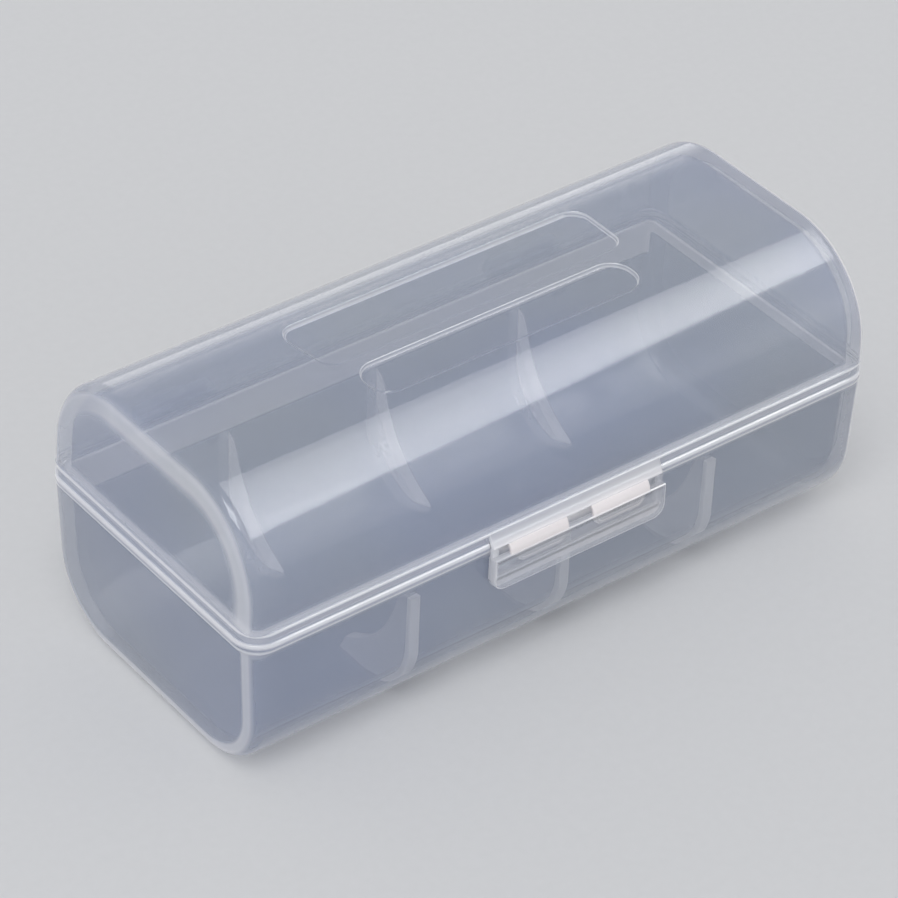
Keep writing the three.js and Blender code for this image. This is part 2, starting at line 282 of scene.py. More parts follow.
def skin(bm, layer, places, section, cap, inset, radius, halo, edge, band=(0.0, 0.0, 0.0)):
    """One skin of a shell, with the radius of its corners. halo is (reach from the rim, milk there),
    edge the milk of the left and the right corners, band (from, to, milk) a stripe along the rear
    wall, measured from the rim. Returns the skin's rim as a loop of vertices."""
    up = 1 if cap == 0 else -1
    grid = []
    for end, turn, share, strip in places:
        row = []
        drop = inset + strip + radius * (1 - math.sin(turn))
        reach = LENGTH - inset - radius * (1 - math.cos(turn))
        x = end * reach if end else share * reach
        for y, depth, ny, nd, below in section:
            vertex = bm.verts.new(lean(x, y - drop * ny, cap + up * (depth - drop * nd)))
            underside = -nd if end > 0 and up > 0 else 0.0
            faint = max(0.0, ny, underside)
            corner = edge[0] if end < 0 else edge[1]
            white = corner * edge_milk(end, turn, strip) * (1.0 - TURNED_AWAY * faint)
            rear = ny > REAR_WALL and turn > REAR_TURN
            if below <= halo[0] and not (rear and band[2]):
                white = max(white, halo[1])
            if rear and band[0] <= below <= band[1]:
                white = max(white, band[2])
            vertex[layer] = white
            row.append(vertex)
        grid.append(row)
    for left, right in zip(grid, grid[1:]):
        for j in range(len(section) - 1):
            bm.faces.new((left[j], right[j], right[j + 1], left[j + 1]))
    first = next(j for j, point in enumerate(section) if point[1] == 0)
    last = len(section) - 1
    for row in (grid[0], grid[-1]):
        for j in range(first - 1):
            bm.faces.new((row[j], row[j + 1], row[last - j - 1], row[last - j]))
        bm.faces.new(row[first - 1 : last - first + 2])
    return [row[0] for row in grid] + [row[-1] for row in reversed(grid)]


def rim(bm, layer, places, outer, inner, profile):
    """Rings round the plan between two skins. profile is a list of (proud of the wall, height, milk,
    corner radius)."""
    loops = [outer]
    for proud, z, milk, radius in profile:
        ring = []
        for side in (-1, 1):
            for end, turn, share, strip in places if side < 0 else reversed(places):
                straight = LENGTH + proud - radius
                x = end * (straight + radius * math.cos(turn)) if end else share * straight
                y = side * (WIDTH + proud - strip - radius * (1 - math.sin(turn)))
                ring.append(bm.verts.new((x, y, z)))
                ring[-1][layer] = milk
        loops.append(ring)
    join(bm, loops + [inner])


print("corners turn in", CORNER_STEPS, "steps of", round(90 / CORNER_STEPS, 1), "degrees")

# %% [markdown]
# ### The tub
# Under the parting plane the tub carries a shoulder, and inside it a thin lip stands up and enters
# the lid. Lip and recess together keep dust out, and where they overlap the plastic looks whiter.
# The rear wall's inner face has the widest white stripe, since there the eye looks through the lid,
# the lap and the wall behind it. Its full white also stands in for light glowing through the rear
# wall from behind: a painted glow.

# %% Tub
CORNER, INNER_CORNER = 1.4, 0.9
TUB_RIM = [  # proud of the wall, height, milk, corner radius
    (0.04, 16.86, 0.35, 1.6), (0.3, 16.95, 0.4, 2.4), (0.38, 17.02, 0.45, 2.6),
    (0.42, 17.1, 0.6, 2.8), (0.42, 17.22, 0.5, 2.8), (0.39, 17.31, 0.3, 2.7),
    (0.32, 17.35, 0.2, 2.7), (-0.62, 17.35, 0.2, 1.7), (-0.69, 17.38, 0.5, 1.6),
    (-0.7, 17.45, 0.5, 1.6), (-0.7, 18.33, 0.5, 1.6), (-0.74, 18.42, 0.7, 1.55),
    (-0.82, 18.45, 0.8, 1.45), (-1.08, 18.45, 0.9, 1.2), (-1.16, 18.42, 1.0, 1.1),
]
TUB_TOP, LIP_TOP = 16.82, 18.33  # where the rim's profile takes over from the two skins
OUTER_HALO, LIP_HALO, NO_EDGE = (0.36, 0.2), (1.16, 1.0), (0.0, 0.0)
OUTER_ROWS = (0.35, 0.6)  # close rows beside the rim, as distances from it
LIP_ROWS = (0.45, 0.7, 1.15, 1.35, 3.7, 4.1)
# The rear wall's inner stripe is full white: partly the layers of plastic seen behind the lid, partly a
# painted glow of light coming through from behind.
REAR_LAP_AND_GLOW = (0.0, 3.75, 1.0)
BEHIND_LATCH = 16.0  # height from which the front wall is white behind the latch


def make_tub():
    bm, layer = new_body()
    outer_arch = arch(TUB_ROUND, TUB_ROUND, TUB_TOP, OUTER_ROWS)
    inner_arch = arch(TUB_ROUND, TUB_ROUND, LIP_TOP, LIP_ROWS)
    places = stations(TUB_STRIP)
    outer = skin(bm, layer, places, outer_arch, 0.0, 0.0, CORNER, OUTER_HALO, (0.45, 0.9))
    inner = skin(bm, layer, places, inner_arch, 0.0, WALL, INNER_CORNER, LIP_HALO, NO_EDGE, REAR_LAP_AND_GLOW)
    rim(bm, layer, places, outer, inner, TUB_RIM)
    for vertex in bm.verts:
        if vertex.co.y < 0.05 - WIDTH and abs(vertex.co.x) < LATCH and vertex.co.z > BEHIND_LATCH:
            vertex[layer] = 1.0
    return to_object("tub", bm)


tub = make_tub()
print("tub faces:", len(tub.data.polygons))

# %% [markdown]
# ### The lid
# The dome ends in a skirt with a thin upper edge and a thicker bead below. These two edges catch
# the light and draw the bright double line round the case. Two shallow panels are pressed into its
# top. They are cut with bodies whose walls flare at the top, so that the edges come out round. The
# cutters carry milk too, and a Boolean hands it on to the edges that it makes.

# %% Lid
# The milk of these rings whitens the skirt's edge and the bead: partly the plastic seen edge-on, partly a
# painted highlight of the bright double line.
LID_RIM = [  # proud of the wall, height, milk, corner radius
    (0.05, 19.1, 0.3, 1.6), (0.14, 19.09, 0.6, 2.2), (0.21, 19.05, 0.7, 2.6),
    (0.24, 18.97, 0.7, 2.65), (0.25, 18.86, 0.5, 2.65), (0.25, 18.76, 0.14, 2.65),
    (0.26, 18.3, 0.12, 2.65), (0.26, 18.14, 0.25, 2.65), (0.29, 18.08, 0.5, 2.7),
    (0.38, 18.05, 0.7, 2.8), (0.46, 18.0, 0.75, 2.9), (0.5, 17.9, 0.75, 3.0),
    (0.5, 17.74, 0.7, 3.0), (0.5, 17.6, 0.4, 3.0), (0.48, 17.5, 0.35, 3.0),
    (0.4, 17.45, 0.3, 2.9), (-0.5, 17.45, 0.3, 1.8), (-0.55, 17.5, 0.6, 1.7),
    (-0.55, 18.5, 0.6, 1.7), (-0.58, 18.58, 0.6, 1.7), (-0.66, 18.6, 0.6, 1.6),
    (-1.1, 18.6, 0.6, 1.2), (-1.18, 18.63, 0.5, 1.0),
]
SKIRT_TOP, RECESS_TOP = 19.13, 18.72  # where the rim's profile takes over from the two skins
RECESS_HALO = (0.26, 0.2)
RECESS_ROWS = (0.25, 0.4)


def make_lid():
    bm, layer = new_body()
    outer_arch = arch(DOME_ROUND, DOME_REAR, HEIGHT - SKIRT_TOP, OUTER_ROWS)
    inner_arch = arch(DOME_ROUND, DOME_REAR, HEIGHT - RECESS_TOP, RECESS_ROWS)
    places = stations(LID_STRIP)
    outer = skin(bm, layer, places, outer_arch, HEIGHT, 0.0, CORNER, OUTER_HALO, (0.52, 0.95))
    inner = skin(bm, layer, places, inner_arch, HEIGHT, WALL, INNER_CORNER, RECESS_HALO, NO_EDGE)
    rim(bm, layer, places, outer, inner, LID_RIM)
    return to_object("lid_dome", bm)


lid = make_lid()
print("lid faces before the panels:", len(lid.data.polygons))

# %% Panels in the lid
REAR_PANEL = [(-17.5, -0.6, 1.9), (18.6, -0.6, 1.5), (18.6, 6.9, 2.0), (-18.5, 6.9, 1.6)]
FRONT_PANEL = [(-16.15, -7.15, 2.2), (16.15, -7.15, 2.2), (16.15, -2.25, 2.3), (-16.15, -2.25, 2.2)]
# outwards, height and milk, from the panel's floor up its wall and out over the lid's top
PANEL_WALL = [
    (-0.3, 31.45, 0), (-0.16, 31.45, 0.1), (-0.09, 31.46, 0.5), (-0.03, 31.5, 0.9), (0, 31.57, 1),
    (0.04, 31.76, 1), (0.08, 31.84, 1), (0.14, 31.89, 0.5), (0.22, 31.93, 0), (0.4, 32.2, 0),
]


def panel_cutter(name, corners):
    outline = rounded(corners, steps=10)
    rings = [([(p.x, p.y, z) for p in grow(outline, g)], milk) for g, z, milk in PANEL_WALL]
    return to_object(name, stack(rings))


cut(lid, panel_cutter("rear_cut", REAR_PANEL), panel_cutter("front_cut", FRONT_PANEL))
milk_values = [item.value for item in lid.data.attributes["milk"].data]
print("lid faces:", len(lid.data.polygons), "milk up to", max(milk_values))

# %% [markdown]
# ### Cradle ribs
# Six ribs fill the lower corners of the tub and hold the cell by its round side. A rib is a flat
# plate whose inner edge is an arc about the cell's axis. Its root reaches into the wall, because
# the moulded joint shows through the thin plastic as a whiter stripe. Each outline is written once
# as (y, z) points with its arcs from a formula, and mirrored for the other side.

# %% Ribs
CRADLE, AXIS_Z = 14.2, 15.95  # radius and height of the arc that holds the cell
RIB_HALF, RIB_PITCH, RIB_EDGE = 0.6, 18.45, 0.12
RIB_ROOT = {-1: 0.62, 1: 1.1}  # from the tub's outside to the roots of the front and the rear ribs
# milk of the face towards the left end, of the other face and of the edges. The rear ribs' other face, which
# the lamps light least, is full white: a painted glow of the light inside the case.
RIB_MILK_AND_GLOW = {-1: (0.7, 0.5, 0.75), 1: (0.2, 1.0, 0.05)}


def rib_outline(side):
    root = RIB_ROOT[side]
    centre, radius = WIDTH - TUB_ROUND, TUB_ROUND - root
    points = [(4.9, root), (centre, root)] if side < 0 else [(5.6, 2.3), (7.4, 1.6), (centre, root)]
    for k in range(1, 14):
        a = math.pi / 2 * k / 14
        points.append((centre + radius * math.sin(a), TUB_ROUND - radius * math.cos(a)))
    points += [(centre + radius - 0.06, 12.6), (centre + radius - 0.04, 14.5)]
    points += [(15.4, 14.4), (15.0, 14.25), (14.6, 14.0), (14.3, 13.7), (14.1, 13.3)]
    first, last = math.radians(75), math.asin(6.1 / CRADLE)
    for k in range(15):
        a = first + (last - first) * k / 14
        points.append((CRADLE * math.sin(a), AXIS_Z - CRADLE * math.cos(a)))
    points += [(5.8, 2.6), (5.55, 2.0), (5.25, 1.5)] if side < 0 else [(5.8, 2.85)]
    outline = [Vector((side * y, z)) for y, z in points]
    return outline if side > 0 else outline[::-1]


ribs = []
for side, where in ((-1, "front"), (1, "rear")):
    for step, hand in ((-1, "left"), (0, "middle"), (1, "right")):
        low = step * RIB_PITCH - RIB_HALF
        near, far, edge = RIB_MILK_AND_GLOW[side]
        body = bar(rib_outline(side), low, low + 2 * RIB_HALF, RIB_EDGE, near, far, edge, border=0.2)
        ribs.append(to_object(f"rib_{where}_{hand}", body, smooth=40))
print("ribs:", len(ribs))

# %% [markdown]
# ## Latch
# The lid carries a boss, and two film straps hang from it. Where the film bends it has turned
# white. The straps hold the tab, a plate with side walls and a thick foot that snaps under two
# bumps on the tub. The boss is a bar along X. A small lug hangs under each of its ends and closes
# the latch's sides. A bump is a tongue that leans on the wall, and a second contour inside its
# outline draws the fine line round it.

# %% Boss and lugs
BOSS_EDGE = 0.24
# The boss's lower front edge is painted whiter towards the bottom: a painted highlight of its rounded edge.
BOSS_HIGHLIGHT_FROM, BOSS_HIGHLIGHT_DEPTH = 18.1, 0.4  # height at which it starts to turn white, and over what
BOSS = [
    (-16.5, 19.02), (-17.02, 19.02), (-17.1, 18.98), (-17.15, 18.88), (-17.66, 17.86),
    (-17.74, 17.72), (-17.77, 17.6), (-17.73, 17.5), (-17.64, 17.45), (-16.5, 17.45),
]


def boss_body():
    """The boss, with a painted highlight along its lower front edge, where the film straps start."""
    bm = bar([Vector(p) for p in BOSS], -LATCH, LATCH, BOSS_EDGE, face=0.3, rim=0.5, border=0.1)
    layer = bm.verts.layers.float["milk"]
    for vertex in bm.verts:
        if abs(vertex.co.x) < LATCH - 0.2:
            low = min(1.0, max(0.0, (BOSS_HIGHLIGHT_FROM - vertex.co.z) / BOSS_HIGHLIGHT_DEPTH))
            vertex[layer] = 0.35 + 0.45 * low
    return bm


SIDE_INNER = 9.8  # where the latch's side walls and lugs start, counted from the middle
LUG_FRONT, LUG_BACK, LUG_LOW, LUG_TOP = -17.76, -17.34, 16.62, 17.6
LUG_WHITE = {-1: 0.5, 1: 0.1}  # the left one shows its side, the right one only its front


def lug(side, hand):
    inner, outer = sorted((side * SIDE_INNER, side * (LATCH - 0.02)))
    corners = ((LUG_FRONT, LUG_LOW), (LUG_BACK, LUG_LOW), (LUG_BACK, LUG_TOP), (LUG_FRONT, LUG_TOP))
    white = LUG_WHITE[side]
    body = bar([Vector(p) for p in corners], inner, outer, 0.08, white, white, white, border=0.05)
    return to_object(f"latch_lug_{hand}", body, smooth=40)


boss = to_object("latch_boss", boss_body(), smooth=40)
lugs = [lug(-1, "left"), lug(1, "right")]
print("boss", 2 * LATCH, "mm wide, lugs:", len(lugs))

# %% Bumps
BUMP_LOW, BUMP_TOP = 14.05, 16.15
BUMP_LEFT, BUMP_RIGHT = (-7.0, -0.95), (2.6, 8.9)  # where they start and end along X
# y, growth and milk, from inside the wall out to the flat front
BUMP_SIDE = [
    (-16.3, 0.0, 1.0), (-17.0, 0.0, 1.0), (-17.14, -0.03, 1.0), (-17.23, -0.1, 1.0),
    (-17.26, -0.16, 0.6), (-17.27, -0.34, 0.5), (-17.28, -0.38, 0.9), (-17.29, -0.46, 0.9),
    (-17.29, -0.5, 0.5), (-17.29, -0.6, 0.5),
]


def bump_body(start, end):
    """A tongue with a rounded outline and a second contour inside it."""
    low_corners = [(start, BUMP_LOW, 0.95), (end, BUMP_LOW, 0.95)]
    top_corners = [(end, BUMP_TOP, 0.3), (start, BUMP_TOP, 0.3)]
    outline = rounded(low_corners + top_corners)
    return stack([([(p.x, y, p.y) for p in grow(outline, g)], milk) for y, g, milk in BUMP_SIDE])


bumps = [
    to_object("catch_bump_left", bump_body(*BUMP_LEFT), smooth=50),
    to_object("catch_bump_right", bump_body(*BUMP_RIGHT), smooth=50),
]
print("bumps:", len(bumps))

# %% [markdown]
# ### The tab
# The tab is what a finger lifts. Its plate, foot and side walls are slabs across Y: an outline is
# stacked through a few depths, and a very thin ring at the front edge is painted white, a painted
# highlight along that edge.

# %% Tab
TAB_LOW, TAB_TOP = 12.7, 16.55
PLATE_FRONT, PLATE_BACK = -18.3, -17.6
FOOT_FRONT, FOOT_BACK, FOOT_TOP = -17.72, -17.33, 13.98
FLANGE_FRONT, FLANGE_BACK, FLANGE_LOW = -17.75, -17.17, TAB_LOW + 0.9
FLANGE_WHITE = {-1: 0.5, 1: 0.05}
TAB_FACE = [(-LATCH, TAB_LOW, 1.35), (LATCH, TAB_LOW, 1.35)]
TAB_FACE += [(LATCH, TAB_TOP, 0.15), (-LATCH, TAB_TOP, 0.15)]
FOOT_SIDE, FOOT_BASE = LATCH - 0.05, TAB_LOW + 0.05
FOOT_FACE = [(-FOOT_SIDE, FOOT_BASE, 0.95), (FOOT_SIDE, FOOT_BASE, 0.95)]
FOOT_FACE += [(FOOT_SIDE, FOOT_TOP, 0.15), (-FOOT_SIDE, FOOT_TOP, 0.15)]


def slab(outline, front, back, face, side, line):
    """A plate across Y. face, side and line are the milk of its faces, sides and front edge; the white of
    the front edge is a painted highlight.
    """
    profile = [
        (back, -0.3, face), (back, -0.06, face), (back - 0.06, 0.0, side), (front + 0.22, 0.0, side),
        (front + 0.14, 0.0, side), (front + 0.1, -0.01, line), (front + 0.03, -0.04, line),
        (front, -0.1, line), (front, -0.14, face), (front, -0.5, face),
    ]
    return stack([([(p.x, y, p.y) for p in grow(outline, g)], milk) for y, g, milk in profile])


def plate_body():
    """The tab's plate. Its left side is one soft milky band, without a bright line."""
    bm = slab(rounded(TAB_FACE, steps=8), PLATE_FRONT, PLATE_BACK, 0.0, 0.15, 1.0)
    layer = bm.verts.layers.float["milk"]
    for vertex in bm.verts:
        if vertex.co.x < -LATCH + 0.3:
            vertex[layer] = 0.42
    return bm


def flange(side, hand):
    """A side wall of the tab."""
    inner, outer = sorted((side * SIDE_INNER, side * (LATCH - 0.03)))
    top = TAB_TOP - 0.04
    wall = [(inner, FLANGE_LOW, 0.3), (outer, FLANGE_LOW, 0.3), (outer, top, 0.15), (inner, top, 0.15)]
    white = FLANGE_WHITE[side]
    body = slab(rounded(wall, steps=4), FLANGE_FRONT, FLANGE_BACK, white, white, white)
    return to_object(f"latch_flange_{hand}", body, smooth=50)


tab = to_object("latch_tab_plate", plate_body(), smooth=50)
foot_body = slab(rounded(FOOT_FACE, steps=8), FOOT_FRONT, FOOT_BACK, 0.35, 0.2, 0.2)
foot = to_object("latch_foot", foot_body, smooth=50)
flanges = [flange(-1, "left"), flange(1, "right")]
print("tab pieces:", 2 + len(flanges))

# %% [markdown]
# ### Film straps
# A living hinge is a strip of the same plastic, thin enough to bend. We sweep a small section along
# the strip's path. Later the piece is blended between lid and tab, so that it curls when the latch
# opens.

# %% Straps
PATH = [  # (y, z) from the boss to the tab
    (-17.35, 17.62), (-17.55, 17.5), (-17.74, 17.34), (-17.88, 17.14),
    (-17.98, 16.92), (-18.04, 16.7), (-18.06, 16.48), (-18.06, 16.3),
]
FILM = 0.17  # half thickness


def smooth_path(points, steps=5):
    """Catmull-Rom curve through the points."""
    line = []
    ends = [points[0]] + points + [points[-1]]
    for p0, p1, p2, p3 in zip(ends, ends[1:], ends[2:], ends[3:]):
        for k in range(steps):
            t = k / steps
            a, b = -0.5 * t + t * t - 0.5 * t**3, 1 - 2.5 * t * t + 1.5 * t**3
            c, d = 0.5 * t + 2 * t * t - 1.5 * t**3, -0.5 * t * t + 0.5 * t**3
            line.append(Vector([a * p0[i] + b * p1[i] + c * p2[i] + d * p3[i] for i in (0, 1)]))
    return line + [Vector(points[-1])]


def strap(name, left, right):
    """The section, FILM to each side of the path, swept along it."""
    line = smooth_path(PATH)
    corners = ((left, -FILM), (right, -FILM), (right, FILM), (left, FILM))
    section = rounded([(u, v, 0.1) for u, v in corners], steps=3)
    rings = []
    for i, point in enumerate(line):
        ahead = (line[min(i + 1, len(line) - 1)] - line[max(i - 1, 0)]).normalized()
        rings.append(([(p.x, point.x + ahead.y * p.y, point.y - ahead.x * p.y) for p in section], 1.0))
    return to_object(name, stack(rings), smooth=50)


STRAP_INNER, STRAP_OUTER = 1.52, 8.62
straps = [
    strap("film_strap_left", -STRAP_OUTER, -STRAP_INNER),
    strap("film_strap_right", STRAP_INNER, STRAP_OUTER),
]
print("straps:", len(straps))

# %% [markdown]
# ## Barrel hinges
# At the back two ears of the tub hold a pin, and a knuckle of the lid turns on it. Each leaf is a
# round eye with a web that runs into the wall. The bore is drilled with a Boolean, as in a
# workshop, and is a little wider than the pin in the knuckle, which has to turn.

# %% Hinges
HINGE_X = 22.0
KNUCKLE_HALF, EAR_START, EAR_END = 2.0, 2.2, 4.2  # along X, counted from the middle of a hinge
EAR_BORE, KNUCKLE_BORE = 0.57, 0.63
WEB_EDGE, WEB_SINK = 0.12, 0.55  # rounding of a leaf and how deep its web stands in the wall
KNUCKLE_WEB, EAR_WEB = (17.45, 3.2), (17.35, -4.4)  # height of the web's end and its run along the wall
TURNS = [math.tau * k / 32 for k in range(32)]  # a full circle


def leaf(name, start, end, rise, bore):
    """A round eye on a web. rise is 1 for the lid's knuckle and -1 for an ear of the tub."""
    root = WIDTH - WEB_SINK
    base_z, foot = KNUCKLE_WEB if rise > 0 else EAR_WEB
    web = ((HINGE_Y - HINGE_R, base_z), (root, base_z), (root, base_z + foot))
    outline = [Vector(corner) for corner in web]
    for k in range(17):
        a = rise * (math.pi / 4 - 1.25 * math.pi * k / 16)
        outline.append(Vector((HINGE_Y + HINGE_R * math.cos(a), PARTING + HINGE_R * math.sin(a))))
    if rise > 0:
        outline = outline[::-1]
    obj = to_object(name, bar(outline, start, end, WEB_EDGE, rim=0.5), smooth=40)
    hole = [(HINGE_Y + bore * math.cos(a), PARTING + bore * math.sin(a)) for a in TURNS]
    drill = stack([([(x, y, z) for y, z in hole], 0.3) for x in (start - 1, end + 1)])
    cut(obj, to_object("drill", drill))
    obj.data.set_sharp_from_angle(angle=math.radians(40))
    return obj


def pin(name, centre):
    """A round pin. Its chamfer is written as (half length, radius)."""
    chamfer = [(4.05, 0.42), (4.0, 0.5), (3.92, 0.545), (3.85, 0.55)]
    rings = [(-x, r) for x, r in chamfer] + chamfer[::-1]
    circle = [(math.cos(a), math.sin(a)) for a in TURNS]
    loops = []
    for x, r in rings:
        loops.append(([(centre + x, HINGE_Y + r * c, PARTING + r * s) for c, s in circle], 0.3))
    return to_object(name, stack(loops), smooth=50)


ears, knuckles, pins = [], [], []
for centre, hand in ((-HINGE_X, "left"), (HINGE_X, "right")):
    ears.append(leaf(f"hinge_ear_{hand}_outer", centre - EAR_END, centre - EAR_START, -1, EAR_BORE))
    ears.append(leaf(f"hinge_ear_{hand}_inner", centre + EAR_START, centre + EAR_END, -1, EAR_BORE))
    first, last = centre - KNUCKLE_HALF, centre + KNUCKLE_HALF
    knuckles.append(leaf(f"hinge_knuckle_{hand}", first, last, 1, KNUCKLE_BORE))
    pins.append(pin(f"pin_{hand}", centre))
print("ears:", len(ears), "knuckles:", len(knuckles), "pins:", len(pins))

# %% [markdown]
# ## Shader maths
# `Value` wraps a socket, so that masks can be written as ordinary sums and products, such as
# `1 - mask`. `Paint` owns one material and has a single method for every other node: it takes the
# node's type, its settings and the values or links of its sockets.

# %% Shader helpers
class Value:
    """A socket that can be used in sums."""

    def __init__(self, paint, socket):
        self.paint, self.socket = paint, socket

    def calc(self, operation, a, b):
        return self.paint.node("ShaderNodeMath", {"operation": operation}, {0: a, 1: b})

    def __add__(self, other):
        return self.calc("ADD", self, other)

    def __sub__(self, other):
        return self.calc("SUBTRACT", self, other)

    def __rsub__(self, other):
        return self.calc("SUBTRACT", other, self)

    def __mul__(self, other):
        return self.calc("MULTIPLY", self, other)

    def limit(self, low, high):
        top = self.calc("MINIMUM", self, high)
        return top.calc("MAXIMUM", top, low)

    def ramp(self, low, high):
        """0 below low, 1 above high, with a soft start and stop."""
        settings = {"interpolation_type": "SMOOTHSTEP"}
        sockets = {"Value": self, "From Min": low, "From Max": high}
        return self.paint.node("ShaderNodeMapRange", settings, sockets)

    __radd__ = __add__
    __rmul__ = __mul__


class Paint:
    """The nodes of a new material, or of a block that is handed in."""

    def __init__(self, name, block=None, target="ShaderNodeOutputMaterial"):
        self.block = block or bpy.data.materials.new(name)
        self.block.use_nodes = True
        self.tree = self.block.node_tree
        self.tree.nodes.clear()
        self.out = self.tree.nodes.new(target)

    def node(self, kind, settings=None, inputs=None, output=0):
        made = self.tree.nodes.new(kind)
        for key, value in (settings or {}).items():
            setattr(made, key, value)
        for key, value in (inputs or {}).items():
            if isinstance(value, Value):
                self.tree.links.new(value.socket, made.inputs[key])
            else:
                made.inputs[key].default_value = value
        return Value(self, made.outputs[output])

    def blend(self, mask, a, b):
        """Colour a where mask is 0, b where it is 1."""
        sockets = {"Factor": mask, "A": a, "B": b}
        return self.node("ShaderNodeMix", {"data_type": "RGBA"}, sockets, 2)

    def finish(self, shader):
        self.tree.links.new(shader.socket, self.out.inputs["Surface"])
        return self.block


def rgb(r, g, b):
    return (r, g, b, 1.0)


print("shader helpers ready")

# %% [markdown]
# ## Milky polypropylene
# Each surface is a thin veil. Its alpha is low where we look straight through a wall and high where
# its milk is, and it rises a little where we look along it, because the path through the plastic is
# longer there. The veil's colour whitens with the same mask. That alone draws pale rims, edges and
# ribs, as real plastic does, and where the milk is a painted highlight or a painted glow, it paints
# that light too. Glass with a volume inside would be closer to physics, but it is slow and noisy in
# walls this thin. Real haze also passes light on, so lamps see a thinner veil than the camera: a Mix
# Shader lets most of their rays through, and the inside isn't dark. The plain colour drifts slowly
# between a bluer and a greyer tone. Clouds from the flow of the melt and faint drawn streaks vary
# the veil, the gloss and the surface, and keep it from looking like clean glass.

# %% Polypropylene
LAMP_SHARE = 0.7  # share of a lamp's rays that passes a surface unseen
CLOUD_SCALE, DRIFT_SCALE = 55.0, 34.0  # patches per metre
STREAK_SCALE = (40.0, 1400.0, 1400.0)  # long along X, where the melt flowed


def polypropylene(
    name, veil, white_veil, body, drifted, white, graze=0.5, gloss=1.8, rough=0.06, cloud=0.08
):
    """Milky plastic. veil and white_veil are the alpha where the milk is 0 and where it is 1, body and
    drifted the two tones of the plain plastic and white that of the milk. graze is the milk added
    where we look along the surface, gloss the index of refraction, rough the least roughness and
    cloud the strength of the clouds."""
    paint = Paint(name)
    facing = paint.node("ShaderNodeLayerWeight", None, {"Blend": 0.5}, 1)
    milk = paint.node("ShaderNodeAttribute", {"attribute_name": "milk"}, None, 2)
    where = paint.node("ShaderNodeTexCoord", None, None, 3)
    cloud_sockets = {"Vector": where, "Scale": CLOUD_SCALE, "Detail": 3.0, "Roughness": 0.55}
    clouds = paint.node("ShaderNodeTexNoise", None, cloud_sockets)
    stretched = paint.node("ShaderNodeMapping", None, {"Vector": where, "Scale": STREAK_SCALE})
    streaks = paint.node("ShaderNodeTexNoise", None, {"Vector": stretched, "Scale": 1.0, "Detail": 4.0})
    uneven = (clouds - 0.5) * cloud + (streaks - 0.5) * (cloud * 0.3)
    mask = (milk + facing.ramp(0.5, 1.0) * graze + uneven).limit(0.0, 1.0)
    alpha = (mask * (white_veil - veil) + veil + uneven * 0.5).limit(0.02, 1.0)
    drift_sockets = {"Vector": where, "Scale": DRIFT_SCALE, "Detail": 1.0}
    drift = paint.node("ShaderNodeTexNoise", None, drift_sockets)
    plain = paint.blend(drift.ramp(0.35, 0.65), rgb(*body), rgb(*drifted))
    colour = paint.blend(mask, plain, rgb(*white))
    dull = (clouds * 0.05 + streaks * 0.02 + rough).limit(0.03, 0.6)
    waves = clouds * 3.0 + streaks * 0.15
    bump = paint.node("ShaderNodeBump", None, {"Strength": 0.15, "Distance": 0.00001, "Height": waves})
    sockets = {"Base Color": colour, "Roughness": dull, "Alpha": alpha, "Normal": bump, "IOR": gloss}
    plastic = paint.node("ShaderNodeBsdfPrincipled", None, sockets)
    lamp_ray = paint.node("ShaderNodeLightPath", None, None, 1)
    nothing = paint.node("ShaderNodeBsdfTransparent")
    shaders = {0: lamp_ray * LAMP_SHARE, 1: plastic, 2: nothing}
    return paint.finish(paint.node("ShaderNodeMixShader", None, shaders))

# %% [markdown]
# ### Six tones of one plastic
# All pieces are moulded in the same plastic, but a thick wall looks deeper and bluer than a thin
# one. So each kind of piece gets a veil and two tones of its own. The straps are the exception:
# bending has filled the film with tiny voids, which makes it warm white and dull. The ribs'
# near-white tones are a lit copy of the plastic: they stand in for the light that scatters round
# inside a real case, a painted glow.

# %% The plastics
WHITE = (0.92, 0.91, 0.93)  # tone of the milk
# each line holds the bluer tone, the greyer tone and the tone of the milk
TUB_TONES = (0.285, 0.325, 0.435), (0.305, 0.34, 0.41), WHITE
LID_TONES = (0.31, 0.355, 0.475), (0.335, 0.375, 0.445), WHITE
# The ribs' near-white tones are a lit copy of the plastic: a painted glow of the light inside the case.
RIB_LIT_TONES = (0.9, 0.9, 0.92), (0.9, 0.9, 0.92), (0.97, 0.96, 0.97)
LATCH_TONES = (0.57, 0.6, 0.67), (0.6, 0.61, 0.65), WHITE
HINGE_TONES = (0.59, 0.62, 0.7), (0.62, 0.63, 0.67), (0.85, 0.85, 0.88)
FILM_TONES = (0.7, 0.68, 0.69), (0.72, 0.69, 0.69), (0.79, 0.75, 0.76)
tub_plastic = polypropylene("polypropylene_tub", 0.5, 0.96, *TUB_TONES, graze=0.55)
lid_plastic = polypropylene("polypropylene_lid", 0.35, 0.93, *LID_TONES, graze=0.65)
rib_plastic = polypropylene("polypropylene_rib", 0.12, 0.92, *RIB_LIT_TONES, graze=0.1, gloss=1.5)
latch_way = {"gloss": 1.6, "rough": 0.2, "cloud": 0.04}
latch_plastic = polypropylene("polypropylene_latch", 0.19, 0.92, *LATCH_TONES, **latch_way)
hinge_plastic = polypropylene("polypropylene_hinge", 0.2, 0.4, *HINGE_TONES, gloss=1.5)
film_way = {"gloss": 1.5, "rough": 0.3, "cloud": 0.5}
strap_plastic = polypropylene("polypropylene_stressed", 0.9, 0.96, *FILM_TONES, **film_way)
plastics = [tub_plastic, lid_plastic, rib_plastic, latch_plastic, hinge_plastic, strap_plastic]
print("plastics:", len(plastics))

# %% [markdown]
# ## Bodies and slots
# The frame knows three bodies that move: base, lid and latch. Each piece rides on one of them, says
# which of the frame's nodes it replaces, and names the slot of its finish. A film strap is blended
# instead: its upper end stays with the lid, its lower end goes with the tab, and between the two
# points it bends.

# %% Dress every piece
def dress(obj, material, body, node):
    """Material, slot and replaced node of a piece, and the body that it rides on, if it has one."""
    obj.data.materials.clear()
    obj.data.materials.append(material)
    if body:
        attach(obj, body)
    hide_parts(node)


